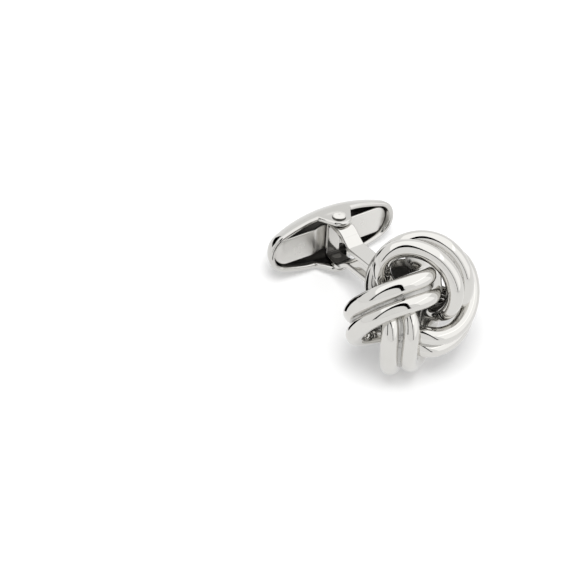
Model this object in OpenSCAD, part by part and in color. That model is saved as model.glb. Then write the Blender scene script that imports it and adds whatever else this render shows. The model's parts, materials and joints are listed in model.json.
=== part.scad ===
// Knot cufflink with a hinged toggle, in millimetres.
// The front is a knot of two interlocked loops, each of two round wires side by side.
// A small cup closes the knot's back and a two-legged post is soldered to the cup.
// The toggle is a boat-shaped shell that turns on two studs through the post's legs.
// Every piece is drawn with the toggle along X, the studs along Y and the post along Z,
// and the whole is then laid down the way it rests on a table.

/* [Knot] */
// Diameter of the round wire
wire_d = 1.95; // [1.6:0.05:2.3]
// Gap filled by solder between pieces of the knot
solder_gap = 0.03; // [0.02:0.01:0.06]

/* [Backing cup] */
// Depth of the cup from its rim to its underside
cup_depth = 1.1; // [0.8:0.05:1.5]
// Wall of the cup
cup_wall = 0.5; // [0.3:0.05:0.7]

/* [Post] */
// Distance from the pivot axis to the cup's underside
post_length = 9; // [8.8:0.1:11]
// Width of the post's legs, along the toggle
leg_width = 2.1; // [1.7:0.05:2.4]
// Thickness of the strip that the post is bent from
leg_thickness = 0.6; // [0.4:0.05:0.75]
// Distance across the legs where they meet the cup
neck_width = 2.5; // [2:0.1:3.4]
// Distance from the pivot axis to the flat underside of the post
cam_reach = 1.25; // [1.1:0.05:1.5]
// Width of the post's closed end, which the leaf spring bears on
cam_width = 1.65; // [1.3:0.05:2]

/* [Toggle] */
// Length of the toggle shell
toggle_length = 16.2; // [14:0.2:17.4]
// Width of the toggle shell across its rim
toggle_width = 6.8; // [6:0.1:8]
// Radius of the shell's rounded ends, seen from above
end_radius = 2.4; // [2:0.1:2.8]
// Wall of the shell
shell_wall = 0.58; // [0.4:0.02:0.7]
// Height of the pivot axis above the shell's rim
pivot_height = 0.8; // [0.8:0.02:0.94]
// Radius of the ears round the pivot axis
ear_radius = 1.35; // [1.2:0.05:1.6]
// Length of each ear where it leaves the rim
ear_base = 4.2; // [3.4:0.1:5]
// Distance that each ear stands in from the side of the shell
ear_inset = 0.25; // [0.15:0.05:0.3]
// Thickness of the leaf spring
leaf_thickness = 0.3; // [0.2:0.02:0.36]

/* [Pivot] */
// Diameter of the stud's shank
stud_d = 1; // [0.8:0.05:1.2]
// Diameter of the stud's head
head_d = 1.5; // [1.3:0.02:1.54]
// Height of the stud's head above the ear
head_height = 0.22; // [0.15:0.01:0.3]
// Radial clearance of the shank in the post's legs
pivot_clearance = 0.04; // [0.02:0.01:0.08]
// Side clearance between a leg and its ear
side_clearance = 0.08; // [0.05:0.01:0.15]
// Clearance between the turning post and the leaf spring
leaf_clearance = 0.05; // [0.03:0.01:0.1]

/* [Hidden] */
// Wires: the path of each is drawn in plan by a chain of turning arms, end to end
// A row holds the arm's turns per lap, its length as a share of the pitch and its starting angle
inner_plan_shares = [[1, 2.42, 0], [-1, 0.81, 0], [3, 0.505, 41]];
outer_plan_shares = [[1, 2.635, -1], [-1, 0.29, -93], [3, 0.59, 54], [-3, 0.25, -98]];
// The same for the wire's rise and fall along the post
inner_rise_shares = [[2, 1.23, 141]];
outer_rise_shares = [[0, 0.555, 180], [2, 1.405, 147], [4, 0.065, 138]];
loop_turn = 13.5;
wire_r = wire_d / 2;
pitch = wire_d + solder_gap;
sections = 72;
sides = 16;

// Cup: its rim lies among the backs of the wires
cup_seat_share = 2.27;
rim_z = post_length + cup_depth;
knot_z = rim_z + cup_seat_share * pitch;

// Post: the strip's centre line, its bends and the turning circle of its closed end
ear_face = toggle_width / 2 - ear_inset;
ear_inner = ear_face - shell_wall;
leg_face = ear_inner - side_clearance;
leg_inner = leg_face - leg_thickness;
bend_radius = leg_thickness;
joggle_start = stud_d;
joggle_end = joggle_start + 3 * leg_thickness + (leg_face - neck_width / 2) / 2;
bend_steps = 6;
joggle_steps = 12;
cam_corner = 0.28 * cam_width;
cam_sweep = norm([cam_width / 2 - cam_corner, cam_reach - cam_corner]) + cam_corner;
shoulder_z = cam_reach;
overrun = leg_thickness;

// Toggle shell: one large arc along each side, run smoothly into a round end
shell_rim_z = -pivot_height;
half_width = toggle_width / 2;
end_x = toggle_length / 2 - end_radius;
side_radius = (end_x * end_x + half_width * half_width - end_radius * end_radius)
    / (2 * (half_width - end_radius));
arc_steps = 14;
end_steps = 8;

// Leaf spring: held at the shell's round ends, clear of the turning post
leaf_low = -(cam_sweep + leaf_clearance);
leaf_crest = -(leg_width / 2 + leaf_clearance);
leaf_end = leaf_low + leaf_clearance;
leaf_drop = shell_rim_z - (leaf_end - leaf_thickness);
end_inner = end_radius - shell_wall;
leaf_radius = sqrt(end_inner * end_inner - leaf_drop * leaf_drop) - leaf_clearance;
leaf_tip = end_x + leaf_radius;
leaf_flat = cam_width / 2 + leaf_thickness;
leaf_crest_x = 2.2 * leaf_flat;
leaf_steps = 8;

// Resting pose: rolled a little about the post, so that both wires of the lowest lobe touch down
rest_roll = 3.2;
tilt_limit = 45;
tilt_halvings = 24;

round_fn = 96;

// Vectors
function unit(v) = v / norm(v);
function turned(v, a) = [v.x * cos(a) - v.y * sin(a), v.x * sin(a) + v.y * cos(a), v.z];

// Centre line of a wire at one angle of its lap
function sum(list) = list * [for (v = list) 1];
function wire_point(plan, rise, t) = turned([
    pitch * sum([for (arm = plan) arm[1] * cos(arm[0] * t + arm[2])]),
    pitch * sum([for (arm = plan) arm[1] * sin(arm[0] * t + arm[2])]),
    knot_z + pitch * sum([for (arm = rise) arm[1] * cos(arm[0] * t + arm[2])])], loop_turn);

// Centre lines of the wires, at even steps of the lap; loop B is loop A turned a quarter
lap_angles = [for (i = [0 : sections - 1]) 360 * i / sections];
inner_line = [for (t = lap_angles) wire_point(inner_plan_shares, inner_rise_shares, t)];
outer_line = [for (t = lap_angles) wire_point(outer_plan_shares, outer_rise_shares, t)];
function quarter_turned(line) = [for (p = line) turned(p, 90)];

// Points of a round wire along a closed centre line, and the faces that join them
function ring_points(line) = [for (i = [0 : sections - 1]) let(
        p = line[i],
        s = unit(line[(i + 1) % sections] - line[(i + sections - 1) % sections]),
        side = unit(cross(s, p - [0, 0, rim_z])),
        up = cross(side, s))
    for (j = [0 : sides - 1]) p + wire_r * (cos(360 * j / sides) * up + sin(360 * j / sides) * side)];
function ring_faces() = [for (i = [0 : sections - 1], j = [0 : sides - 1]) let(
        next_i = (i + 1) % sections,
        next_j = (j + 1) % sides,
        a = i * sides + j,
        b = i * sides + next_j,
        c = next_i * sides + next_j,
        d = next_i * sides + j)
    each [[a, c, b], [a, d, c]]];

// Radius that the wires leave free round the axis at one height
wire_centres = concat(inner_line, outer_line);
function free_radius(z) = min([for (p = wire_centres) let(h = abs(p.z - z))
    if (h < wire_r) norm([p.x, p.y]) - sqrt(wire_r * wire_r - h * h)]);
cup_rim_r = free_radius(rim_z) - solder_gap;
cup_sphere = (cup_rim_r * cup_rim_r + cup_depth * cup_depth) / (2 * cup_depth);
cup_centre_z = post_length + cup_sphere;

// Shell outline in its rim plane, from the middle to the tip, set in by a wall
function join_angle() = atan2(side_radius - half_width, end_x);
function side_arc(inset) = [for (i = [0 : arc_steps]) let(a = 90 - (90 - join_angle()) * i / arc_steps)
    [(side_radius - inset) * cos(a), (side_radius - inset) * sin(a) - side_radius + half_width]];
function end_arc(inset) = [for (i = [1 : end_steps]) let(a = join_angle() * (1 - i / end_steps))
    [end_x + (end_radius - inset) * cos(a), (end_radius - inset) * sin(a)]];
function half_outline(inset) = concat(side_arc(inset), end_arc(inset));
function reversed(list) = [for (i = [len(list) - 1 : -1 : 0]) list[i]];
function whole_outline(inset) = let(half = half_outline(inset))
    concat([for (p = reversed(half)) [-p.x, p.y]], [for (i = [1 : len(half) - 1]) half[i]]);

// Centre line of the post's strip on the +Y side, from the middle of the closed end to the cup
leg_line_y = leg_face - leg_thickness / 2;
neck_line_y = (neck_width - leg_thickness) / 2;
web_line_z = -cam_reach + leg_thickness / 2;
leg_top_z = post_length + cup_depth / 2;
function strip_half() = concat(
    [[0, web_line_z]],
    [for (i = [0 : bend_steps]) let(a = 90 * i / bend_steps)
        [leg_line_y - bend_radius + bend_radius * sin(a), web_line_z + bend_radius - bend_radius * cos(a)]],
    [for (i = [0 : joggle_steps]) let(s = i / joggle_steps)
        [neck_line_y + (leg_line_y - neck_line_y) * (1 + cos(180 * s)) / 2,
            joggle_start + (joggle_end - joggle_start) * s]],
    [[neck_line_y, leg_top_z]]);
function strip_line() = let(half = strip_half())
    concat([for (p = reversed(half)) [-p.x, p.y]], [for (i = [1 : len(half) - 1]) half[i]]);
function strip_side(line, shift) = [for (i = [0 : len(line) - 1]) let(
        s = unit(line[min(i + 1, len(line) - 1)] - line[max(i - 1, 0)]))
    line[i] + shift * [-s.y, s.x]];

// Outline of the post seen along the studs: a narrow closed end with round corners
function post_outline() = let(
        half = cam_width / 2,
        corner = [for (i = [0 : bend_steps]) let(a = 90 * i / bend_steps)
            [half - cam_corner + cam_corner * sin(a), -cam_reach + cam_corner * (1 - cos(a))]],
        side = concat(corner, [[leg_width / 2, shoulder_z], [leg_width / 2, leg_top_z + overrun]]))
    concat(side, [for (p = reversed(side)) [-p.x, p.y]]);

// Top of the leaf spring at one place along the toggle
function eased(s) = (1 - cos(180 * s)) / 2;
function leaf_top(x) = let(r = abs(x))
    r < leaf_flat ? leaf_low
    : r < leaf_crest_x ? leaf_low
        + (leaf_crest - leaf_low) * eased((r - leaf_flat) / (leaf_crest_x - leaf_flat))
    : leaf_crest + (leaf_end - leaf_crest) * (r - leaf_crest_x) / (leaf_tip - leaf_crest_x);
function leaf_stations() = let(
        rise = [for (i = [0 : leaf_steps]) leaf_flat + (leaf_crest_x - leaf_flat) * i / leaf_steps],
        half = concat(rise, [leaf_tip]))
    concat([for (x = reversed(half)) -x], half);

// One closed ring of round wire
module wire_ring(line) {
    polyhedron(points = ring_points(line), faces = ring_faces(), convexity = 8);
}

module knot_loop_a_inner() {
    color("gainsboro") wire_ring(inner_line);
}

module knot_loop_a_outer() {
    color("gainsboro") wire_ring(outer_line);
}

module knot_loop_b_inner() {
    color("gainsboro") wire_ring(quarter_turned(inner_line));
}

module knot_loop_b_outer() {
    color("gainsboro") wire_ring(quarter_turned(outer_line));
}

// A shallow bowl, open towards the knot
module backing_cup() {
    color("silver") intersection() {
        translate([0, 0, cup_centre_z]) difference() {
            sphere(r = cup_sphere, $fn = round_fn);
            sphere(r = cup_sphere - cup_wall, $fn = round_fn);
        }
        translate([0, 0, post_length - overrun])
            cylinder(h = cup_depth + overrun, r = cup_rim_r + overrun, $fn = round_fn);
    }
}

// A flat strip bent into a U: its legs are drawn in above the studs and end on the cup
module post() {
    line = strip_line();
    color("silver") difference() {
        intersection() {
            rotate([90, 0, 90]) linear_extrude(height = leg_width, center = true)
                polygon(concat(strip_side(line, leg_thickness / 2),
                    reversed(strip_side(line, -leg_thickness / 2))));
            rotate([90, 0, 0]) linear_extrude(height = toggle_width, center = true)
                polygon(post_outline());
        }
        rotate([90, 0, 0])
            cylinder(h = toggle_width, d = stud_d + 2 * pivot_clearance, center = true, $fn = round_fn);
        translate([0, 0, cup_centre_z]) sphere(r = cup_sphere + solder_gap, $fn = round_fn);
    }
}

// One ear, a flat tab that rises from the rim and rounds over the stud
module ear_plate() {
    root_z = shell_rim_z - shell_wall;
    lean = atan2(pivot_height, ear_base / 2);
    reach = norm([ear_base / 2, pivot_height]);
    touch = acos(ear_radius / reach) - lean;
    edge = [for (i = [0 : end_steps]) let(a = touch + (180 - 2 * touch) * i / end_steps)
        ear_radius * [cos(a), sin(a)]];
    rotate([90, 0, 0]) linear_extrude(height = shell_wall)
        polygon(concat([[-ear_base / 2, root_z], [ear_base / 2, root_z], [ear_base / 2, shell_rim_z]],
            edge, [[-ear_base / 2, shell_rim_z]]));
}

// Half of a turned boat shape, hollow and open towards the knot, with an ear on each side
module toggle_shell() {
    color("silver") difference() {
        union() {
            translate([0, 0, shell_rim_z]) rotate([0, 90, 0]) rotate([0, 0, -90])
                rotate_extrude(angle = 180, $fn = round_fn)
                    polygon([for (p = concat(whole_outline(0), reversed(whole_outline(shell_wall))))
                        [p.y, p.x]]);
            translate([0, ear_face, 0]) ear_plate();
            translate([0, shell_wall - ear_face, 0]) ear_plate();
        }
        rotate([90, 0, 0])
            cylinder(h = 2 * toggle_width, d = stud_d + solder_gap, center = true, $fn = round_fn);
    }
}

// A bowed strip with round ends that spans the shell under the post's closed end
module leaf_spring() {
    stations = leaf_stations();
    color("gainsboro") intersection() {
        rotate([90, 0, 0]) linear_extrude(height = toggle_width, center = true)
            polygon(concat([for (x = stations) [x, leaf_top(x)]],
                [for (x = reversed(stations)) [x, leaf_top(x) - leaf_thickness]]));
        translate([0, 0, -toggle_width]) linear_extrude(height = toggle_width) union() {
            square([2 * end_x, 2 * leaf_radius], center = true);
            for (side = [-1, 1]) translate([side * end_x, 0]) circle(r = leaf_radius, $fn = round_fn);
        }
    }
}

// A stud with a low domed head, drawn along +Z from the leg's inner face
module pivot_stud() {
    shank_r = stud_d / 2;
    head_r = head_d / 2;
    seat = ear_face - leg_inner + solder_gap;
    dome = [for (i = [0 : end_steps]) let(a = 90 * i / end_steps)
        [head_r * cos(a), seat + head_height * (1 + sin(a)) / 2]];
    rotate_extrude($fn = round_fn)
        polygon(concat([[0, 0], [shank_r, 0], [shank_r, seat], [head_r, seat]], dome));
}

module pivot_stud_upper() {
    color("silver") translate([0, leg_inner, 0]) rotate([-90, 0, 0]) pivot_stud();
}

module pivot_stud_lower() {
    color("silver") translate([0, -leg_inner, 0]) rotate([90, 0, 0]) pivot_stud();
}

// Up and back, in the part's own axes, when the post slopes up towards the knot by a tilt
function up_at(tilt) = [-sin(rest_roll) * cos(tilt), cos(rest_roll) * cos(tilt), sin(tilt)];
function back_at(tilt) = [-sin(rest_roll) * sin(tilt), cos(rest_roll) * sin(tilt), -cos(tilt)];

// How far the knot and the toggle's round belly reach along a direction
wire_skin = concat(ring_points(inner_line), ring_points(outer_line),
    ring_points(quarter_turned(inner_line)), ring_points(quarter_turned(outer_line)));
function knot_reach(dir) = max([for (p = wire_skin) p * dir]);
function toggle_reach(dir) = dir.z * shell_rim_z
    + max([for (p = whole_outline(0)) p.y * norm([dir.y, dir.z]) + p.x * dir.x]);

// Tilt at which the knot and the toggle both touch the table, found by halving the range
function find_tilt(low, high, turns) = let(mid = (low + high) / 2, down = -up_at(mid))
    turns == 0 ? mid
    : knot_reach(down) > toggle_reach(down) ? find_tilt(mid, high, turns - 1)
    : find_tilt(low, mid, turns - 1);
rest_tilt = find_tilt(0, tilt_limit, tilt_halvings);
rest_lift = toggle_reach(-up_at(rest_tilt));
rest_shift = (knot_reach(-back_at(rest_tilt)) - toggle_reach(back_at(rest_tilt))) / 2;

// Lays the part down: the post along Y with the knot to the front, the studs nearly upright
module laid_down() {
    translate([0, rest_shift, rest_lift]) rotate([90 - rest_tilt, 0, 0]) rotate([0, 0, -rest_roll])
        children();
}

laid_down() knot_loop_a_inner();
laid_down() knot_loop_a_outer();
laid_down() knot_loop_b_inner();
laid_down() knot_loop_b_outer();
laid_down() backing_cup();
laid_down() post();
laid_down() toggle_shell();
laid_down() leaf_spring();
laid_down() pivot_stud_upper();
laid_down() pivot_stud_lower();
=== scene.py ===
# %% [markdown]
# # A knot cufflink in polished plate
# The real cufflink is a knot of doubled wire, a cup and a forked post behind it, and a hinged
# toggle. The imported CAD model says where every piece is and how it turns. This notebook gives
# each piece the soft edges and the polish that light needs, one piece to a cell.

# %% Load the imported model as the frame
import json
import bpy
import numpy as np
from mathutils import Matrix, Vector


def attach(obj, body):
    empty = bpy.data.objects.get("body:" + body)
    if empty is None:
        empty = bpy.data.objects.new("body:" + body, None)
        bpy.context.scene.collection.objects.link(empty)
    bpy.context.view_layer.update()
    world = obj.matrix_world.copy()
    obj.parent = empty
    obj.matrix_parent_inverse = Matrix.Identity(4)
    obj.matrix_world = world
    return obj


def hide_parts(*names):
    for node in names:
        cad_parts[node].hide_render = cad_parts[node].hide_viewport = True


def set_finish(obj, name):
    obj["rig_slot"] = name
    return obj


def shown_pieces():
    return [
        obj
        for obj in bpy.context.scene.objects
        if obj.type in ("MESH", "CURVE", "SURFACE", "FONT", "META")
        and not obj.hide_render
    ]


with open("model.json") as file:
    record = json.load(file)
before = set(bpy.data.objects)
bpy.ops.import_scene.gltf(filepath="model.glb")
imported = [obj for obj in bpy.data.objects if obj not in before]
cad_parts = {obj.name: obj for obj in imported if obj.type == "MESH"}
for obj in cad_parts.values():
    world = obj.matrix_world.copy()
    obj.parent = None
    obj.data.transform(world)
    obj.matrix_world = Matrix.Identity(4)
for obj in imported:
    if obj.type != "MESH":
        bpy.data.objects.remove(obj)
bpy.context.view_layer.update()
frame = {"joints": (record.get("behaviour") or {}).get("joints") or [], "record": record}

# %% [markdown]
# The pieces are easiest to describe in the cufflink's own axes, in millimetres: the toggle
# along X, the studs along Y, and the post along Z with the pivot at zero. The record holds the
# hinge's point and axis and the post's direction, so these three say how the whole was laid
# down, and no place has to be typed in twice.

# %% The cufflink's own axes
MM = 0.001
hinge = frame["joints"][0]
pivot = np.array(hinge["pos_m"])
stud_way = np.array(hinge["axis"]) / np.linalg.norm(hinge["axis"])
post_way = -np.array(frame["record"]["mounts"][0]["axis"])
post_way /= np.linalg.norm(post_way)
toggle_way = np.cross(stud_way, post_way)
own_axes = np.stack([toggle_way, stud_way, post_way])


def laid(points):
    """Own millimetres to the frame's metres: turned with the three axes, then moved to the pivot."""
    return pivot + MM * (np.asarray(points) @ own_axes)


print("own axes", own_axes.round(4).tolist())

# %% [markdown]
# Every piece here is one closed skin: a grid of points whose columns run round the piece and
# whose rows run along it. The rows either meet again, as in a ring, or close on a point at
# each end. A grid keeps the mesh even, so a mirror finish shows no dents. The sign of the
# enclosed volume tells whether the faces look outwards.

# %% From a grid of points to a piece
def skin(name, grid, ends=None):
    """Joins a grid (rows, columns, 3): columns closed, rows closed or ended by two points."""
    rows, columns = grid.shape[:2]
    index = np.arange(rows * columns).reshape(rows, columns)
    here = index if ends is None else index[:-1]
    there = np.roll(index, -1, 0) if ends is None else index[1:]
    quads = np.stack([here, np.roll(here, -1, 1), np.roll(there, -1, 1), there], -1).reshape(-1, 4)
    points = grid.reshape(-1, 3)
    fans = np.empty((0, 3), int)
    if ends is not None:
        first, last = len(points), len(points) + 1
        points = np.vstack([points, ends])
        low, high = index[0], index[-1]
        fans = np.vstack([
            np.stack([np.full(columns, first), np.roll(low, -1), low], -1),
            np.stack([np.full(columns, last), high, np.roll(high, -1)], -1)])
    triangles = np.vstack([quads[:, :3], quads[:, [0, 2, 3]], fans])
    a, b, c = (points[triangles[:, k]] for k in range(3))
    volume = np.einsum("ij,ij->i", a, np.cross(b, c)).sum() / 6
    if volume < 0:
        quads, fans = quads[:, ::-1], fans[:, ::-1]
    mesh = bpy.data.meshes.new(name)
    mesh.from_pydata(laid(points), [], quads.tolist() + fans.tolist())
    mesh.validate()
    mesh.polygons.foreach_set("use_smooth", np.ones(len(mesh.polygons), bool))
    piece = bpy.data.objects.new(name, mesh)
    bpy.context.scene.collection.objects.link(piece)
    print(f"{name}: {len(triangles)} triangles, {abs(volume):.1f} mm3")
    return piece


# %% [markdown]
# A piece then gets its place in the assembly: the body that it moves with, the name of its
# finish, and the plain solid that it stands for. Each skin may also carry a number per point
# that tells its finish where shade is painted into its colour, in corners and hollows, and
# where it is rougher. A number on the mesh follows the shape, which a picture would not.

# %% From a skin to a part of the assembly
def finish_piece(piece, body, slot, *nodes):
    """Hangs a piece on its body, names its finish and says which solids it stands for."""
    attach(piece, body)
    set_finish(piece, slot)
    if nodes:
        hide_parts(*nodes)


def keep_painted_shade(piece, values):
    """Stores 0 to 1 at each point: how much shade is painted there. Poles take their row's."""
    values = np.clip(values, 0, 1)
    poles = [values[0].mean(), values[-1].mean()]
    kept = np.append(values, poles)[:len(piece.data.vertices)]
    piece.data.attributes.new("painted_shade", "FLOAT", "POINT").data.foreach_set("value", kept)


def unit(vectors):
    """Each vector divided by its own length."""
    return vectors / np.linalg.norm(vectors, axis=-1, keepdims=True)


def eased(share):
    """A share from 0 to 1 that starts and ends softly: 3s^2 - 2s^3."""
    share = np.clip(share, 0, 1)
    return share * share * (3 - 2 * share)


# %% [markdown]
# ## The knot
# A silversmith draws round wire, bends it into a long loop that rises and dips twice on its way
# round, and lays a second wire beside it. Two such loops, a quarter turn apart, lock into the
# knot. In plan each wire follows a chain of arms that turn at whole multiples of the lap, so it
# closes by itself and stays smooth everywhere. A row below holds an arm's turns per lap, its
# length as a share of the pitch, and its starting angle.

# %% Centre lines of the four wires
wire_radius = 0.975
wire_gap = 0.03
pitch = 2 * wire_radius + wire_gap
loop_turn = 13.5
post_length = 9.0
cup_depth = 1.1
cup_rim_height = post_length + cup_depth
cup_seat_share = 2.27
knot_height = cup_rim_height + cup_seat_share * pitch
inner_plan_shares = [[1, 2.42, 0], [-1, 0.81, 0], [3, 0.505, 41]]
outer_plan_shares = [[1, 2.635, -1], [-1, 0.29, -93], [3, 0.59, 54], [-3, 0.25, -98]]
inner_rise_shares = [[2, 1.23, 141]]
outer_rise_shares = [[0, 0.555, 180], [2, 1.405, 147], [4, 0.065, 138]]
wire_sections = 720


def turned(points, degrees):
    """Points turned about the post's axis: x cos - y sin, x sin + y cos."""
    c, s = np.cos(np.radians(degrees)), np.sin(np.radians(degrees))
    return points @ np.array([[c, s, 0], [-s, c, 0], [0, 0, 1]])


def centre_line(plan, rise):
    """Sum of share x (cos, sin)(turns x lap + angle) in plan, and of share x cos in height."""
    lap = np.linspace(0, 2 * np.pi, wire_sections, endpoint=False)[:, None]
    turns, shares, angles = np.array(plan).T
    swing = turns * lap + np.radians(angles)
    rise_turns, rise_shares, rise_angles = np.array(rise).T
    lift = rise_shares * np.cos(rise_turns * lap + np.radians(rise_angles))
    x, y = (shares * np.cos(swing)).sum(1), (shares * np.sin(swing)).sum(1)
    return turned(pitch * np.stack([x, y, lift.sum(1)], -1) + [0, 0, knot_height], loop_turn)


inner_line = centre_line(inner_plan_shares, inner_rise_shares)
outer_line = centre_line(outer_plan_shares, outer_rise_shares)
knot_across = 2 * (np.linalg.norm(outer_line[:, :2], axis=1).max() + wire_radius)
print("knot across", round(knot_across, 2), "mm")

# %% [markdown]
# A round wire is a circle carried along its centre line. Where the second wire lies close, the
# solder leaves the wire rougher, and shade is painted into its colour in the crease between
# the two. What lies deep inside the knot gets painted shade too. Both are found by distance,
# so no seam has to be drawn by hand.

# %% The four wires
wire_sides = 44
seam_reach = 0.42
seam_shade_share = 0.45
hidden_height, hidden_height_fade = 14.3, 1.8
hidden_radius, hidden_radius_fade = 5.4, 1.6
hidden_shade_share = 0.85


def ring_axes(line):
    """Along, across and out at each point of a closed line; out points away from the cup."""
    along = unit(np.roll(line, -1, 0) - np.roll(line, 1, 0))
    across = unit(np.cross(along, line - [0, 0, cup_rim_height]))
    return along, across, np.cross(across, along)


def round_wire(line):
    """Centre line + radius x (cos of the angle x out + sin of the angle x across)."""
    along, across, out = ring_axes(line)
    angle = np.linspace(0, 2 * np.pi, wire_sides, endpoint=False)[None, :, None]
    return line[:, None] + wire_radius * (np.cos(angle) * out[:, None] + np.sin(angle) * across[:, None])


def closeness(points, other_line, reach):
    """1 where a point touches the other wire, falling to 0 at a distance called the reach."""
    spots = points.reshape(-1, 3).astype(np.float32)
    every_fourth = other_line[::4].astype(np.float32)
    square = ((spots ** 2).sum(1)[:, None] + (every_fourth ** 2).sum(1)
              - 2 * spots @ every_fourth.T)
    gap = np.sqrt(np.maximum(square.min(1), 0)) - wire_radius
    return eased(1 - gap / reach).reshape(points.shape[:2])


def deepness(points):
    """1 low down near the post's axis, where the loops hide the wire, and 0 on the crowns."""
    across = np.linalg.norm(points[..., :2], axis=-1)
    return (eased((hidden_height - points[..., 2]) / hidden_height_fade)
            * eased((hidden_radius - across) / hidden_radius_fade))


for loop, quarter in (("a", 0), ("b", 90)):
    for lane, own, mate in (("inner", inner_line, outer_line), ("outer", outer_line, inner_line)):
        grid = round_wire(turned(own, quarter))
        wire = skin(f"wire_{loop}_{lane}", grid)
        # Painted shade: darker in the crease beside the mate wire and deep inside the knot.
        bright = 1 - seam_shade_share * closeness(grid, turned(mate, quarter), seam_reach)
        keep_painted_shade(wire, 1 - bright * (1 - hidden_shade_share * deepness(grid)))
        finish_piece(wire, "knot", "polished_wire", f"knot_loop_{loop}_{lane}")

# %% [markdown]
# Between the two wires of a loop runs a thin line of solder. It is carried along the pair like
# the wires themselves: at each point of one wire the nearest point of the other is found, and
# a narrow strip with a hollowed face fills the valley on both sides.

# %% The solder seams
seam_depth = 0.43
seam_hollow = 0.05
seam_bite = 0.04
seam_sides = 12
smoothing_rounds = 3
smoothing_step = 4


def solder_seam(line, mate):
    """A strip between two wires: half as wide as the valley at its depth, hollowed at its face."""
    square = ((line[:, None] - mate[None]) ** 2).sum(-1)
    nearest = mate[square.argmin(1)]
    for _ in range(smoothing_rounds):
        beside = np.roll(nearest, smoothing_step, 0), np.roll(nearest, -smoothing_step, 0)
        nearest = (beside[0] + nearest + beside[1]) / 3
    middle = (line + nearest) / 2
    across = unit(nearest - line)
    along = unit(np.roll(middle, -1, 0) - np.roll(middle, 1, 0))
    out = unit(np.cross(along, across))
    half_gap = np.linalg.norm(nearest - line, axis=1) / 2 - wire_radius
    valley = half_gap + wire_radius - np.sqrt(wire_radius ** 2 - seam_depth ** 2) + seam_bite
    side = np.linspace(-1, 1, seam_sides)
    height = seam_depth - seam_hollow * (1 - side ** 2)
    face = np.concatenate([np.stack([side, height], -1), np.stack([side[::-1], -height], -1)])
    return (middle[:, None] + valley[:, None, None] * face[None, :, :1] * across[:, None]
            + face[None, :, 1:] * out[:, None])


for loop, quarter in (("a", 0), ("b", 90)):
    seam_grid = solder_seam(turned(inner_line, quarter), turned(outer_line, quarter))
    finish_piece(skin(f"solder_seam_{loop}", seam_grid), "knot", "polished_wire")

# %% [markdown]
# ## Turned pieces
# The cup and the studs are round about an axis, as on a lathe. Such a piece is an outline of
# radius and height that is swung about Z. Real corners are never sharp, and a mirror finish
# shows it, so each corner of an outline is first replaced by a small curve.

# %% Rounded outlines, swung about an axis
corner_side_share = 0.48
nearly_straight = 1.55


def softened(outline, radius, steps=6):
    """Each inner corner of an open outline becomes (1-s)^2 start + 2s(1-s) corner + s^2 end."""
    outline = np.asarray(outline, float)
    pieces = [outline[:1]]
    for before, corner, after in zip(outline[:-2], outline[1:-1], outline[2:]):
        back, on = unit(before - corner), unit(after - corner)
        half = np.arccos(np.clip(back @ on, -1, 1)) / 2
        shorter = min(np.linalg.norm(before - corner), np.linalg.norm(after - corner))
        reach = min(radius / np.tan(half), corner_side_share * shorter) if half < nearly_straight else 0
        share = np.linspace(0, 1, steps)[:, None]
        start, end = corner + reach * back, corner + reach * on
        pieces.append((1 - share) ** 2 * start + 2 * share * (1 - share) * corner + share ** 2 * end)
    return np.vstack(pieces + [outline[-1:]])


def swung(outline, sides):
    """(radius cos, radius sin, height) round Z; the outline's first and last points are poles."""
    angle = np.linspace(0, 2 * np.pi, sides, endpoint=False)
    ring = np.stack([np.cos(angle), np.sin(angle)], -1)
    body = outline[1:-1]
    heights = np.broadcast_to(body[:, None, 1:], (len(body), sides, 1))
    grid = np.concatenate([body[:, None, :1] * ring[None], heights], -1)
    return grid, np.array([[0, 0, outline[0, 1]], [0, 0, outline[-1, 1]]])


# %% [markdown]
# ## The cup behind the knot
# A shallow dish is pressed from sheet and soldered among the backs of the wires. It closes the
# knot and takes the post. Its rim goes as far out as the wires leave room, so its radius is
# measured on their centre lines. The solids have one section in ten of these, and the cup is
# fitted to the same ones. Shade is painted into its inside, which lies in the knot's hollow.

# %% The cup
cup_wall = 0.5
cup_edge = 0.16
cup_sides = 144
cup_shade_share = 0.75
cup_shade_rows = 6


def free_radius(line, height):
    """Least |x, y| - sqrt(radius^2 - h^2), where h is how far the line is from that height."""
    above = line[:, 2] - height
    near = np.abs(above) < wire_radius
    reach = np.sqrt(wire_radius ** 2 - above[near] ** 2)
    return (np.linalg.norm(line[near, :2], axis=1) - reach).min()


def cap_line(ball, height, steps=24):
    """Points of a ball's lower cap, from its foot up to a height."""
    top = np.arccos((cup_middle - height) / ball)
    angle = np.linspace(0, top, steps)
    return np.stack([ball * np.sin(angle), cup_middle - ball * np.cos(angle)], -1)


cup_rim_radius = free_radius(np.vstack([inner_line[::10], outer_line[::10]]), cup_rim_height) - wire_gap
cup_ball = (cup_rim_radius ** 2 + cup_depth ** 2) / (2 * cup_depth)
cup_middle = cup_rim_height - cup_depth + cup_ball
cup_outside = cap_line(cup_ball, cup_rim_height)
cup_inside = cap_line(cup_ball - cup_wall, cup_rim_height)
cup_grid, cup_poles = swung(softened(np.vstack([cup_outside, cup_inside[::-1]]), cup_edge), cup_sides)
cup = skin("cup", cup_grid, cup_poles)
# Painted shade: the cup's inside darkens from its rim inwards.
past_rim = np.arange(len(cup_grid))[:, None] - np.argmax(cup_grid[:, 0, 2])
keep_painted_shade(cup, cup_shade_share * eased(past_rim / cup_shade_rows) * np.ones(cup_grid.shape[:2]))
finish_piece(cup, "knot", "polished_cup", "backing_cup")
print("cup across", round(2 * cup_rim_radius, 2), "mm")

# %% [markdown]
# ## The post
# The post is one flat strip bent into a U round a former: the closed end sits in the toggle
# and its flat underside works against the spring, and the two legs are drawn in above the
# studs and soldered to the cup. Its legs stand just inside the toggle's ears, so their place
# follows from the toggle's width. Half the bent line is written down, and the other half is
# its mirror image.

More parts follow.
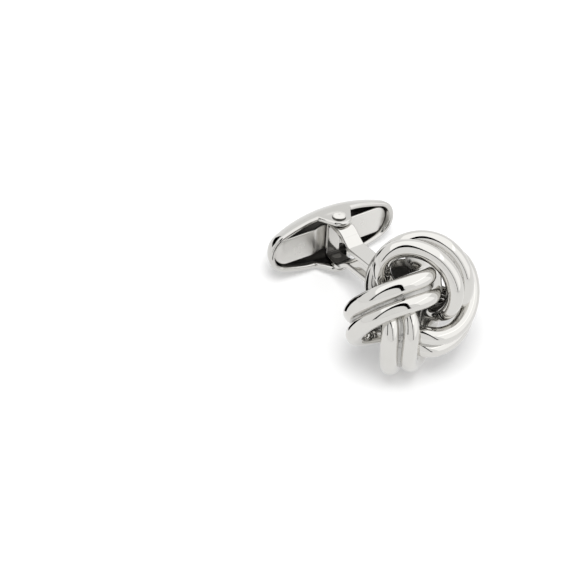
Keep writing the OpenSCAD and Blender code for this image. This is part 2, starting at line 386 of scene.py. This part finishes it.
# %% The post's bent line
leg_width = 2.1
leg_thickness = 0.6
neck_width = 2.5
cam_reach = 1.25
cam_width = 1.65
cam_corner_share = 0.28
cam_corner = cam_corner_share * cam_width
toggle_width = 6.8
ear_inset = 0.25
shell_wall = 0.58
side_clearance = 0.08
stud_radius = 0.5
ear_face = toggle_width / 2 - ear_inset
leg_face = ear_face - shell_wall - side_clearance
leg_inner = leg_face - leg_thickness
bend_radius = leg_thickness
joggle_low = 2 * stud_radius
joggle_high = joggle_low + 3 * leg_thickness + (leg_face - neck_width / 2) / 2
foot_sink = 0.38
foot_height = post_length + foot_sink


def strip_line(web_steps=13, bend_steps=18, leg_steps=14, joggle_steps=40):
    """Half the strip: along the web, a quarter bend, a cosine joggle inwards, then straight."""
    leg = leg_face - leg_thickness / 2
    neck = (neck_width - leg_thickness) / 2
    web = -cam_reach + leg_thickness / 2
    out = np.linspace(0, leg - bend_radius, web_steps, endpoint=False)
    bend = np.linspace(0, np.pi / 2, bend_steps)
    low = np.linspace(web + bend_radius, joggle_low, leg_steps)[1:-1]
    share = np.linspace(0, 1, joggle_steps)
    high = np.linspace(joggle_high, foot_height, joggle_steps)[1:]
    half = np.vstack([
        np.stack([out, np.full(len(out), web)], -1),
        np.stack([leg - bend_radius + bend_radius * np.sin(bend),
                  web + bend_radius - bend_radius * np.cos(bend)], -1),
        np.stack([np.full(len(low), leg), low], -1),
        np.stack([neck + (leg - neck) * (1 + np.cos(np.pi * share)) / 2,
                  joggle_low + (joggle_high - joggle_low) * share], -1),
        np.stack([np.full(len(high), neck), high], -1)])
    return np.vstack([half[::-1] * [-1, 1], half[1:]])


post_line = strip_line()
print("post strip", round(np.linalg.norm(np.diff(post_line, axis=0), axis=1).sum(), 1), "mm long")

# %% [markdown]
# A rounded flat section is carried along that line, and its width follows the outline seen
# along the studs. Shade is painted inside the U and as a fine dark line along its edges,
# which the skin keeps as its painted shade.

# %% The post
strip_edge = 0.13
fork_reach, fork_fade = 0.45, 0.3
leg_reach, leg_fade = 3.0, 0.9
edge_line = 0.05


def post_half_width(height):
    """Round corner at the closed end, a taper up to the studs, then the leg's full width."""
    into = np.clip((height + cam_reach) / cam_corner, 0, 1)
    low = cam_width / 2 - cam_corner + cam_corner * np.sqrt(1 - (1 - into) ** 2)
    taper = np.clip((height + cam_reach - cam_corner) / (2 * cam_reach - cam_corner), 0, 1)
    return low + (leg_width - cam_width) / 2 * taper


def rounded_section(half_width, half_thickness, radius, arc=6, flat=10):
    """Closed rounded rectangle: four flats joined by quarter circles."""
    corners = []
    for k, (sx, sy) in enumerate(((1, 1), (-1, 1), (-1, -1), (1, -1))):
        centre = np.array([sx * (half_width - radius), sy * (half_thickness - radius)])
        turn = np.linspace(0, np.pi / 2, arc) + k * np.pi / 2
        corners.append(centre + radius * np.stack([np.cos(turn), np.sin(turn)], -1))
    share = np.linspace(0, 1, flat)[1:-1, None]
    whole = []
    for corner, after in zip(corners, corners[1:] + corners[:1]):
        whole += [corner, corner[-1] + share * (after[0] - corner[-1])]
    return np.vstack(whole)


def bent_strip(line):
    """Line + thickness x normal; the width at each point is read off the outline by height."""
    along = unit(np.gradient(line, axis=0))
    normal = np.stack([-along[:, 1], along[:, 0]], -1)
    section = rounded_section(1.0, leg_thickness / 2, strip_edge)
    place = line[:, None] + section[None, :, 1:] * normal[:, None]
    width = post_half_width(place[..., 1])
    side = section[:, 0]
    on_arc = np.sign(side) * (width - 1 + np.abs(side))
    on_flat = side / (1 - strip_edge) * (width - strip_edge)
    across = np.where(np.abs(side) < 1 - strip_edge, on_flat, on_arc)
    return np.stack([across, place[..., 0], place[..., 1]], -1)


def fork_corner(points):
    """Painted shade: 1 in the inner corners of the U and up the legs to the studs, and a fine line at the
    edges.
    """
    beside = np.abs(points[..., 1]) - leg_inner
    above = points[..., 2] + cam_reach - leg_thickness
    inner = (beside < edge_line) & (above > -edge_line)
    corner = eased((beside + fork_reach) / fork_fade) * eased((leg_reach - above) / leg_fade)
    from_edge = post_half_width(points[..., 2]) - np.abs(points[..., 0])
    line = np.clip(1 - np.abs(from_edge - edge_line) / edge_line, 0, 1)
    return np.maximum(np.where(inner, corner, 0), line)


post_grid = bent_strip(post_line)
post = skin("post_strip", post_grid, np.stack([post_grid[0].mean(0), post_grid[-1].mean(0)]))
# Painted shade in the fork of the U and along the strip's edges.
keep_painted_shade(post, fork_corner(post_grid))
finish_piece(post, "knot", "polished_post", "post")

# %% [markdown]
# ## The toggle
# The toggle's shell is pressed from sheet like half of a small boat: seen from above it is a
# large arc along each side run into a round end, and across it is round, because the punch
# that forms it is a turned one. So the outline is swung about the toggle's length.

# %% The shell's outline and wall
toggle_length = 16.2
end_radius = 2.4
pivot_height = 0.8
half_width = toggle_width / 2
end_middle = toggle_length / 2 - end_radius
side_radius = (end_middle ** 2 + half_width ** 2 - end_radius ** 2) / (2 * (half_width - end_radius))
join = np.arctan2(side_radius - half_width, end_middle)
end_share = end_radius * join / (end_radius * join + side_radius * (np.pi / 2 - join))
first_dip = 0.1


def outline(lap, inset):
    """Place along the toggle and half width at a lap angle from 0, one tip, to pi, the other."""
    share = 1 - np.abs(lap / (np.pi / 2) - 1)
    on_end = share < end_share
    angle = np.where(on_end, join * share / end_share,
                     join + (np.pi / 2 - join) * (share - end_share) / (1 - end_share))
    radius = np.where(on_end, end_radius, side_radius) - inset
    x = np.where(on_end, end_middle, 0) + radius * np.cos(angle)
    y = np.where(on_end, 0, half_width - side_radius) + radius * np.sin(angle)
    return np.where(lap > np.pi / 2, -x, x), y


def wall(lap, dip, inset):
    """The outline swung about the toggle's axis: lap round the rim, dip from 0 there to 90 deg."""
    a, b, c = np.cos(dip) * np.cos(lap), np.cos(dip) * np.sin(lap), np.sin(dip)
    x, radius = outline(np.arccos(np.clip(a, -1, 1)), inset)
    radius = radius / np.sqrt(np.maximum(1 - a * a, 1e-12))
    return np.stack([x, radius * b, -pivot_height - radius * c], -1)


def dip_at(lap, depth, inset, rounds=30):
    """The dip at which the wall is that far below the rim, by repeated substitution."""
    dip = np.full_like(lap, first_dip)
    for _ in range(rounds):
        deep = -pivot_height - wall(lap, dip, inset)[..., 2]
        dip = np.arcsin(np.clip(np.sin(dip) * depth / deep, 0, 1))
    return dip


print("side arc", round(side_radius, 2), "mm, round ends", end_radius, "mm")

# %% [markdown]
# On each side the wall is left standing as an ear that takes a stud. Seen along the stud, the
# ear is a circle round it with a straight flank down to the rim on each side. One number per
# place along the toggle is enough for that: the height of the edge. A square root that never
# reaches zero rounds the corner where the flank meets the rim.

# %% The rim's height, with the ears
ear_radius = 1.35
ear_base = 4.2
corner_softness = 0.1
ear_lean = np.arctan2(pivot_height, ear_base / 2)
ear_reach = np.hypot(ear_base / 2, pivot_height)
touch = np.arccos(ear_radius / ear_reach) - ear_lean
touch_x, touch_z = ear_radius * np.cos(touch), ear_radius * np.sin(touch)
flank = (touch_z + pivot_height) / (ear_base / 2 - touch_x)


def ear_height(x):
    """Height of the edge above the rim: a circle round the stud, then a straight flank."""
    r = np.abs(x)
    crown = np.sqrt(np.maximum(ear_radius ** 2 - r ** 2, 0)) + pivot_height
    rise = np.where(r < touch_x, crown, flank * (ear_base / 2 - r))
    return (rise + np.sqrt(rise ** 2 + corner_softness ** 2)) / 2


print("ears rise", round(float(ear_height(0)), 2), "mm above the rim")

# %% [markdown]
# The rim of the real shell is rolled soft. Rim and ears are one skin with the wall here too:
# each column climbs the outside from the keel, goes over the edge, and comes down inside. The
# wall leans in under the ears, so that it meets them without a step.

# %% The toggle shell
shell_columns = 448
wall_rows = 52
lip_rows = 13
lip_height = 0.27
lip_height_most = 0.5
lip_smoothing = 7
upright_below = 0.05
mean_girth_radius = 3
lean_height = 2.3
lean_end, lean_fade = 3.9, 2.4
flat_enough = 1e-6


def shell_face(lap, inset, face):
    """One face of the shell, from the lowest point up to where the edge starts to round."""
    rim_x = wall(lap, dip_at(lap, np.full_like(lap, upright_below), inset), inset)[:, 0]
    rise = ear_height(rim_x)
    run = np.gradient(rim_x)
    slope = np.gradient(rise) / np.where(np.abs(run) < flat_enough, flat_enough, run)
    lip = np.minimum(lip_height * np.sqrt(1 + slope ** 2), lip_height_most)
    around = np.pad(lip, lip_smoothing // 2, "wrap")
    lip = np.convolve(around, np.ones(lip_smoothing) / lip_smoothing, "valid")
    top = rise - lip
    dip_end = dip_at(lap, np.maximum(-top, upright_below), inset)
    climb = mean_girth_radius * (np.pi / 2 - dip_end)
    stand = np.maximum(top + upright_below, 0)
    way = np.linspace(0, 1, wall_rows + 1)[1:, None] * (climb + stand)
    dip = np.pi / 2 - np.minimum(way, climb) / mean_girth_radius
    points = wall(lap[None], dip, inset)
    points[..., 2] += np.maximum(way - climb, 0)
    by_height = eased((points[..., 2] + lean_height) / lean_height)
    lean = by_height * eased((lean_end - np.abs(points[-1, :, 0])) / lean_fade)
    points[..., 1] += np.sign(np.sin(lap)) * (face - np.abs(points[..., 1])) * lean
    return points, lip


lap = (np.arange(shell_columns) + 0.5) * 2 * np.pi / shell_columns
near_side = np.where(lap > np.pi, 2 * np.pi - lap, lap)
side_sign = np.ones((1, shell_columns, 3))
side_sign[0, lap > np.pi, 1] = -1
outer_face, lip = shell_face(near_side, 0, ear_face)
inner_face, _ = shell_face(near_side, shell_wall, ear_face - shell_wall)
inner_face[-1, :, 2] = outer_face[-1, :, 2]
turn = np.linspace(0, np.pi, lip_rows)[1:-1, None, None]
edge_middle, edge_half = (outer_face[-1] + inner_face[-1]) / 2, (outer_face[-1] - inner_face[-1]) / 2
edge = edge_middle + edge_half * np.cos(turn) + np.sin(turn) * lip[None, :, None] * [0, 0, 1]
shell_grid = np.concatenate([outer_face, edge, inner_face[::-1]]) * side_sign
keel = np.array([np.pi / 2])
shell = skin("toggle_boat", shell_grid, np.vstack([wall(keel, keel, 0), wall(keel, keel, shell_wall)]))

# %% [markdown]
# The shell's inside gets painted shade from a few rows past the edge, with less of it along a
# stretch beside the post.

# %% The shell's painted shade inside
inside_shade_share = 0.92
shade_rows = 5
less_shade_share = 0.65
less_shade_from, less_shade_from_fade = 0.9, 0.4
less_shade_to, less_shade_to_fade = 3.3, 0.5

inward = np.zeros(shell_grid.shape[:2])
inward[-wall_rows:] = eased(np.arange(wall_rows) / shade_rows)[:, None]
along_shell = shell_grid[..., 0]
less_shade = (eased((along_shell - less_shade_from) / less_shade_from_fade)
          * eased((less_shade_to - along_shell) / less_shade_to_fade))
# Painted shade on the shell's inside, less beside the post.
keep_painted_shade(shell, (inside_shade_share - less_shade_share * less_shade) * inward)
finish_piece(shell, "toggle", "polished_toggle", "toggle_shell")
print("dull share of the shell's points", round(float((inward > 0).mean()), 2))

# %% [markdown]
# ## The leaf spring
# A bowed strip with round ends lies in the shell and presses on the post's closed end, so the
# toggle snaps square or in line. It is cut from sheet with tumbled edges: a flat section with
# rounded edges that follows the bow, and narrows to the round ends. It starts level, just
# clear of the sweep of the post's closed end, rises to a crest beside it, and its tips turn
# down towards the shell.

# %% The leaf spring
leaf_thickness = 0.3
leaf_clearance = 0.05
leaf_edge = 0.11
cam_sweep = np.hypot(cam_width / 2 - cam_corner, cam_reach - cam_corner) + cam_corner
leaf_low = -1.38
leaf_crest = -1.08
leaf_end = -1.13
leaf_flat = cam_width / 2 + leaf_thickness
leaf_crest_share = 2.2
leaf_crest_x = leaf_crest_share * leaf_flat
leaf_drop = cam_sweep + leaf_thickness - pivot_height
leaf_radius = np.sqrt((end_radius - shell_wall) ** 2 - leaf_drop ** 2) - leaf_clearance
leaf_tip = end_middle + leaf_radius
tip_turn = 0.27
tip_turn_from = 6.15
tip_turn_power = 1.3


def leaf_top(x):
    """Level under the post, a cosine rise to the crest, a straight fall, tips turned down."""
    r = np.abs(x)
    up_slope = np.clip((r - leaf_flat) / (leaf_crest_x - leaf_flat), 0, 1)
    rise = leaf_low + (leaf_crest - leaf_low) * (1 - np.cos(np.pi * up_slope)) / 2
    fall = leaf_crest + (leaf_end - leaf_crest) * (r - leaf_crest_x) / (leaf_tip - leaf_crest_x)
    past = np.clip((r - tip_turn_from) / (leaf_tip - tip_turn_from), 0, 1)
    return np.where(r < leaf_crest_x, rise, fall) - tip_turn * past ** tip_turn_power


def leaf_strip(rows=220):
    """Half width times the section across, thickness times the section down, along the bow."""
    x = leaf_tip * np.sin(np.linspace(-np.pi / 2, np.pi / 2, rows + 2)[1:-1])
    past = np.maximum(np.abs(x) - end_middle, 0)
    half = np.sqrt(np.maximum(leaf_radius ** 2 - past ** 2, 0))[:, None]
    section = rounded_section(1.0, leaf_thickness / 2, leaf_edge)
    side = section[:, 0]
    edge = np.minimum(leaf_edge, half)
    on_flat = side / (1 - leaf_edge) * (half - edge)
    on_arc = np.sign(side) * (half - edge * (1 - np.abs(side)) / leaf_edge)
    across = np.where(np.abs(side) < 1 - leaf_edge, on_flat, on_arc)
    down = leaf_top(x)[:, None] - leaf_thickness / 2 + section[None, :, 1]
    return np.stack([np.broadcast_to(x[:, None], across.shape), across, down], -1)


leaf_tip_middle = leaf_top(leaf_tip) - leaf_thickness / 2
leaf = skin("spring_leaf", leaf_strip(), [[-leaf_tip, 0, leaf_tip_middle], [leaf_tip, 0, leaf_tip_middle]])
finish_piece(leaf, "toggle", "spring_plate", "leaf_spring")

# %% [markdown]
# ## The studs
# Each ear is pinned to its leg by a short stud. Its head is struck into a low dome, and its
# inner end is spread a little so that it can't work out. It is turned work, so its outline is
# swung about the hinge. Shade is painted into the corner round the head as a dark ring, and
# over the shank below it.

# %% The studs
head_radius = 0.75
head_ease = 0.02
head_rim = 0.14
dome_foot = 0.16
dome_height = 0.09
dome_fullness = 0.8
spread = 0.03
stud_edge = 0.03
stud_sides = 96
head_shade_share = 0.9
head_shade_height, head_shade_fade = 0.17, 0.05


def stud_outline():
    """Radius and place along the stud: spread end, shank, head's rim and its low dome."""
    dome = np.linspace(0, np.pi / 2, 14)[1:-1]
    crown = np.stack([head_radius * np.cos(dome) ** dome_fullness,
                      ear_face + dome_foot + dome_height * np.sin(dome)], -1)
    body = [[0, leg_inner - spread], [stud_radius + head_ease, leg_inner - spread],
            [stud_radius + spread, leg_inner], [stud_radius, leg_inner + spread],
            [stud_radius, ear_face], [head_radius - head_ease, ear_face],
            [head_radius, ear_face + head_rim]]
    return np.vstack([body, crown, [[0, ear_face + dome_foot + dome_height]]])


for side, name in ((1, "upper"), (-1, "lower")):
    grid, poles = swung(softened(stud_outline(), stud_edge, 4), stud_sides)
    lain = np.array([[1, 0, 0], [0, 0, side], [0, side, 0]])
    stud = skin(f"stud_{name}", grid @ lain.T, poles @ lain.T)
    # Painted shade: a dark ring in the corner round the head.
    under_head = eased((ear_face + head_shade_height - grid[..., 2]) / head_shade_fade)
    keep_painted_shade(stud, head_shade_share * under_head)
    finish_piece(stud, "toggle", "polished_stud", f"pivot_stud_{name}")

# %% [markdown]
# ## Finishes
# The whole cufflink is plated and polished to a mirror. A real polish isn't perfect: it has a
# faint orange peel from the plating bath and hairlines from the buff. Each finish is the same
# metal with its own measure of these, so one function makes them all, and it also paints shade,
# darker and rougher, where the skin stores it. The noise is read in Object coordinates and
# turns with its piece.

# %% A polished plate
warm_low, warm_high = (0.97, 0.955, 0.915), (1.01, 0.995, 0.96)
pit_colour = (0.05, 0.048, 0.045, 1)
# Painted shade: a near-black colour, and the roughness it adds where the skin stores it.
painted_shade_colour = (0.04, 0.038, 0.035, 1)
painted_shade_roughness = 0.3
peel_height = 0.00002
smudge_waves, peel_waves = 600, 5200
gloss_least, gloss_most = 0.6, 1.5
pit_from, pit_to = 0.42, 0.5
patch_from, patch_to = 0.5, 0.62


def polish(name, tone=0.60, gloss=0.05, peel=0.02, pits=0.0):
    """Metal: noise varies its roughness and relief; the stored painted shade darkens and roughens it."""
    material = bpy.data.materials.new(name)
    material.use_nodes = True
    nodes, links = material.node_tree.nodes, material.node_tree.links
    shader = nodes["Principled BSDF"]
    shader.inputs["Metallic"].default_value = 1.0
    place = nodes.new("ShaderNodeTexCoord").outputs["Object"]
    attribute = nodes.new("ShaderNodeAttribute")
    attribute.attribute_name = "painted_shade"
    painted_shade = attribute.outputs["Fac"]

    def noise(scale, detail):
        """Noise of so many waves to a metre."""
        texture = nodes.new("ShaderNodeTexNoise")
        texture.inputs["Scale"].default_value = scale
        texture.inputs["Detail"].default_value = detail
        links.new(place, texture.inputs["Vector"])
        return texture.outputs["Fac"]

    def spread_over(value, low, high, start=0.0, end=1.0):
        """A value from start to end, carried over to low to high."""
        span = nodes.new("ShaderNodeMapRange")
        for key, number in (("From Min", start), ("From Max", end), ("To Min", low), ("To Max", high)):
            span.inputs[key].default_value = number
        links.new(value, span.inputs["Value"])
        return span.outputs["Result"]

    def mixed(share, low, high):
        """Low x (1 - share) + high x share, for two colours or sockets."""
        mix = nodes.new("ShaderNodeMix")
        mix.data_type = "RGBA"
        links.new(share, mix.inputs["Factor"])
        for socket, colour in ((mix.inputs[6], low), (mix.inputs[7], high)):
            if isinstance(colour, tuple):
                socket.default_value = colour
            else:
                links.new(colour, socket)
        return mix.outputs[2]

    smudge = noise(smudge_waves, 4)
    fine = noise(peel_waves, 2)
    low_tone, high_tone = (tuple(tone * c for c in warm) + (1,) for warm in (warm_low, warm_high))
    colour = mixed(smudge, low_tone, high_tone)
    if pits:
        patch = nodes.new("ShaderNodeMath")
        patch.operation = "MULTIPLY"
        links.new(spread_over(fine, pits, 0.0, pit_from, pit_to), patch.inputs[0])
        links.new(spread_over(smudge, 0.0, 1.0, patch_from, patch_to), patch.inputs[1])
        colour = mixed(patch.outputs[0], colour, pit_colour)
    colour = mixed(painted_shade, colour, painted_shade_colour)
    rougher = nodes.new("ShaderNodeMath")
    rougher.operation = "MULTIPLY_ADD"
    links.new(painted_shade, rougher.inputs[0])
    rougher.inputs[1].default_value = painted_shade_roughness
    links.new(spread_over(smudge, gloss * gloss_least, gloss * gloss_most), rougher.inputs[2])
    bump = nodes.new("ShaderNodeBump")
    bump.inputs["Strength"].default_value = peel
    bump.inputs["Distance"].default_value = peel_height
    links.new(fine, bump.inputs["Height"])
    links.new(bump.outputs["Normal"], shader.inputs["Normal"])
    links.new(colour, shader.inputs["Base Color"])
    links.new(rougher.outputs[0], shader.inputs["Roughness"])
    return material


# %% [markdown]
# The wires are buffed longest and are the sharpest mirror. The leaf is tumbled and not buffed,
# so it is satin, and its tone is set paler as painted light, to lift the shaded paper it
# mirrors. The studs are small and finished by hand, so they have the most relief. Solder is
# greyer than plate and full of fine pits.

# %% Put the finishes on
finishes = {
    "polished_wire": polish("wire_mirror_plate", tone=0.66),
    "polished_cup": polish("cup_mirror_plate", gloss=0.1),
    "polished_post": polish("post_polished_plate", tone=0.68, gloss=0.08, peel=0.04),
    "polished_toggle": polish("toggle_mirror_plate", gloss=0.06, peel=0.03),
    # Painted light: the leaf's tone is set paler than the plate's.
    "spring_plate": polish("leaf_polished_plate", tone=0.74, gloss=0.3, peel=0.01),
    "polished_stud": polish("stud_polished_plate", tone=0.66, gloss=0.06, peel=0.6),
}
solder = polish("solder_line", tone=0.45, gloss=0.28, peel=0.2, pits=0.8)
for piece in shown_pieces():
    material = solder if piece.name.startswith("solder") else finishes[piece["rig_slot"]]
    piece.data.materials.clear()
    piece.data.materials.append(material)
print("finishes", sorted(finishes))

# %% [markdown]
# ## Table and tent
# The cufflink lies on white paper, in a tent of white light. A mirror shows only what is
# round it, so the tent is the world, white to every ray that looks at it or is mirrored in
# the metal, and much weaker as a lamp. The paper is pale and keeps the soft shadow, and a
# little glow lifts it to white for the same rays.

# %% The paper on the table
table_size = 1.2
paper_shade = 0.8
mirrored_shade = 0.4
camera_glow, pane_glow, mirror_glow = 0.24, 0.2, 0.6


def white_paper():
    """Diffuse paper + glow, where the kind of ray weighs both."""
    material = bpy.data.materials.new("white_paper")
    material.use_nodes = True
    nodes, links = material.node_tree.nodes, material.node_tree.links
    shader = nodes["Principled BSDF"]
    shader.inputs["Roughness"].default_value = 0.9
    shader.inputs["Specular IOR Level"].default_value = 0.0
    rays = nodes.new("ShaderNodeLightPath")

    def weighed(output, weight, added):
        """Output x weight + added."""
        step = nodes.new("ShaderNodeMath")
        step.operation = "MULTIPLY_ADD"
        links.new(output, step.inputs[0])
        step.inputs[1].default_value = weight
        if isinstance(added, float):
            step.inputs[2].default_value = added
        else:
            links.new(added, step.inputs[2])
        return step.outputs[0]

    glow = nodes.new("ShaderNodeEmission")
    glow.inputs["Color"].default_value = (1, 1, 1, 1)
    level = weighed(rays.outputs["Is Camera Ray"], camera_glow, 0.0)
    level = weighed(rays.outputs["Is Transmission Ray"], pane_glow, level)
    links.new(weighed(rays.outputs["Is Glossy Ray"], mirror_glow, level), glow.inputs["Strength"])
    paper = nodes.new("ShaderNodeCombineColor")
    shade = weighed(rays.outputs["Is Glossy Ray"], mirrored_shade - paper_shade, paper_shade)
    for channel in ("Red", "Green", "Blue"):
        links.new(shade, paper.inputs[channel])
    links.new(paper.outputs[0], shader.inputs["Base Color"])
    both = nodes.new("ShaderNodeAddShader")
    links.new(shader.outputs[0], both.inputs[0])
    links.new(glow.outputs[0], both.inputs[1])
    links.new(both.outputs[0], nodes["Material Output"].inputs["Surface"])
    return material


def staged_sheet(name, corners, material):
    """One flat face through its corners, with a material, as part of the stage."""
    mesh = bpy.data.meshes.new(name)
    mesh.from_pydata([tuple(map(float, c)) for c in corners], [], [list(range(len(corners)))])
    mesh.materials.append(material)
    sheet = bpy.data.objects.new(name, mesh)
    bpy.context.scene.collection.objects.link(sheet)
    return sheet


table_corners = table_size / 2 * np.array([(-1, -1, 0), (1, -1, 0), (1, 1, 0), (-1, 1, 0)])
staged_sheet("table", table_corners, white_paper())
print("table", table_size, "m square")

# %% [markdown]
# The world is the tent. One strength serves the rays that see it, and another, a third as
# strong, serves as the light that falls from all round on the paper.

# %% The tent
tent_as_lamp = 0.35
world = bpy.data.worlds.new("tent")
bpy.context.scene.world = world
world.use_nodes = True
nodes, links = world.node_tree.nodes, world.node_tree.links
rays = nodes.new("ShaderNodeLightPath")
seen = rays.outputs["Is Camera Ray"]
for kind in ("Is Glossy Ray", "Is Transmission Ray"):
    either = nodes.new("ShaderNodeMath")
    either.operation = "MAXIMUM"
    links.new(seen, either.inputs[0])
    links.new(rays.outputs[kind], either.inputs[1])
    seen = either.outputs[0]
strength = nodes.new("ShaderNodeMapRange")
strength.inputs["To Min"].default_value = tent_as_lamp
strength.inputs["To Max"].default_value = 1.0
links.new(seen, strength.inputs["Value"])
background = nodes["Background"]
background.inputs["Color"].default_value = (1, 1, 1, 1)
links.new(strength.outputs["Result"], background.inputs["Strength"])
print("tent as a lamp", tent_as_lamp)

# %% [markdown]
# ## Camera
# The camera looks down on the cufflink at about fifty degrees and is rolled a little, as in the
# photograph. The lens is long, so near and far parts keep one scale, and it is aimed rather
# than shifted.

# %% The camera
camera_azimuth = -137.04
camera_elevation = 49.47
camera_roll = -16.84
pixels_per_mm = 9.4
picture_pixels = 564
pivot_pixel = np.array([337.5, 241.0])
lens = 600.0
sensor = 36.0

az, el, roll = np.radians([camera_azimuth, camera_elevation, camera_roll])
towards = np.array([np.cos(el) * np.cos(az), np.cos(el) * np.sin(az), np.sin(el)])
level_right = unit(np.cross([0, 0, 1.0], towards))
level_up = np.cross(towards, level_right)
right = np.cos(roll) * level_right - np.sin(roll) * level_up
up = np.sin(roll) * level_right + np.cos(roll) * level_up
off_right, off_down = picture_pixels / 2 - pivot_pixel
aim = pivot + MM / pixels_per_mm * (off_right * right - off_down * up)
distance = lens / sensor * picture_pixels / pixels_per_mm * MM
camera_data = bpy.data.cameras.new("camera")
camera_data.lens = lens
camera_data.sensor_width = sensor
camera_data.clip_start = 0.05
camera = bpy.data.objects.new("camera", camera_data)
bpy.context.scene.collection.objects.link(camera)
matrix = np.eye(4)
matrix[:3, :3] = np.stack([right, up, towards], -1)
matrix[:3, 3] = aim + distance * towards
camera.matrix_world = Matrix(matrix.tolist())
bpy.context.scene.camera = camera
print("camera", matrix[:3, 3].round(3), "distance", round(distance, 3))

# %% [markdown]
# ## Lamps
# Three large softboxes overhead give the metal its broad pale faces, and one low at the right
# gives the lobes their bright edge. The three lie a centimetre apart, because a mirrored ray
# counts only one of the lamps that lie at one place. A small key lamp that the metal doesn't
# mirror draws the shadow on the paper. A lamp's power follows from how bright its face should
# look, so its size can change without a change of exposure.

# %% The lamps
def seen_at(x, y, away):
    """A place that far off, in the direction x right and y up of the camera's own."""
    ahead = np.sqrt(1 - x * x - y * y)
    return aim + away * (x / ahead * right + y / ahead * up + towards)


def softbox(name, place, size, brightness, mirrored=True):
    """A square lamp that looks at the cufflink; its power is pi x brightness x size^2."""
    data = bpy.data.lights.new(name, "AREA")
    data.size = size
    data.energy = np.pi * brightness * size ** 2
    lamp = bpy.data.objects.new(name, data)
    bpy.context.scene.collection.objects.link(lamp)
    lamp.location = place
    lamp.rotation_euler = (Vector(place) - Vector(aim)).to_track_quat("Z", "Y").to_euler()
    lamp.visible_glossy = mirrored


for layer, size in enumerate((1.16, 1.22, 1.28)):
    softbox(f"top_softbox_{layer}", (0.05, 0.08, 0.5 + 0.01 * layer), size, 0.125)
softbox("side_softbox", seen_at(0.95, -0.03, 0.12), 0.34, 0.32)
softbox("key_lamp", (-0.1, -0.03, 0.43), 0.24, 6.25, mirrored=False)

# %% [markdown]
# ## Dark gaps in the tent
# Polished metal in a plain white tent looks like white plastic. What makes it look like metal
# is the edge of the tent's door, which every wire mirrors as a thin dark crescent, and two
# gaps low down. The door's edge is a sheet between two bent lines, broad over the top and
# narrow at its two ends. A white sheet behind it keeps the softboxes out of its opening. All of
# these are seen in reflections and nowhere else, so they hide nothing from the camera.

# %% The door's edge and the low gaps
def shown_in_metal(name, corners, shade):
    """A flat card of one shade through its corners, hidden from all but mirrored rays."""
    material = bpy.data.materials.new(name)
    material.use_nodes = True
    nodes = material.node_tree.nodes
    nodes.clear()
    glow = nodes.new("ShaderNodeEmission")
    glow.inputs["Color"].default_value = (shade, shade, shade, 1)
    out = nodes.new("ShaderNodeOutputMaterial")
    material.node_tree.links.new(glow.outputs[0], out.inputs["Surface"])
    sheet = staged_sheet(name, corners, material)
    for seen_by in ("camera", "diffuse", "shadow", "transmission", "volume_scatter"):
        setattr(sheet, "visible_" + seen_by, False)


def drawn_line(pulls, away, steps=32):
    """(1-t)^3 start + 3t(1-t)^2 pull + 3t^2(1-t) other pull + t^3 end, as seen from the camera."""
    t = np.linspace(0, 1, steps)[:, None]
    start, pull, other_pull, end = np.array(pulls)
    first_half = (1 - t) ** 3 * start + 3 * t * (1 - t) ** 2 * pull
    second_half = 3 * t * t * (1 - t) * other_pull + t ** 3 * end
    return [seen_at(x, y, away) for x, y in first_half + second_half]


door_away = 0.25
door_behind = door_away + 0.01
door_outline = [(-0.54, -0.50), (-0.44, 1.05), (0.35, 1.05), (0.62, -0.68)]
door_opening = [(-0.38, -0.54), (-0.46, 0.50), (0.38, 0.52), (0.55, -0.73)]
door_edge = drawn_line(door_outline, door_away) + drawn_line(door_opening, door_away)[::-1]
shown_in_metal("tent_door_edge", door_edge, 0.0)
shown_in_metal("tent_door", drawn_line(door_outline, door_behind), 1.0)

beside_knot = np.array([-6.6, 2.0, 0])
beside_way = unit(np.array([0.93, 0.37, 0]))
beside_outline = [(-4.8, 1.4), (-1.2, 1.4), (-1.2, 5.0), (-0.4, 8.0),
                  (-0.4, 10.5), (-4.2, 10.5), (-5.0, 6.0)]
beside_corners = [beside_knot + s * beside_way + [0, 0, height] for s, height in beside_outline]
shown_in_metal("low_gap_beside", MM * np.array(beside_corners), 0.0)
behind_corners = [(-17, 24, 0.5), (-5.5, 24, 0.5), (-1.7, 46, 12), (-30, 46, 12)]
shown_in_metal("low_gap_behind", MM * np.array(behind_corners), 0.0)
print("door's edge", len(door_edge), "corners")

# %% [markdown]
# The picture is taken with the plain view, so a colour shows as it is written.

# %% The view
view = bpy.context.scene.view_settings
view.view_transform = "Standard"
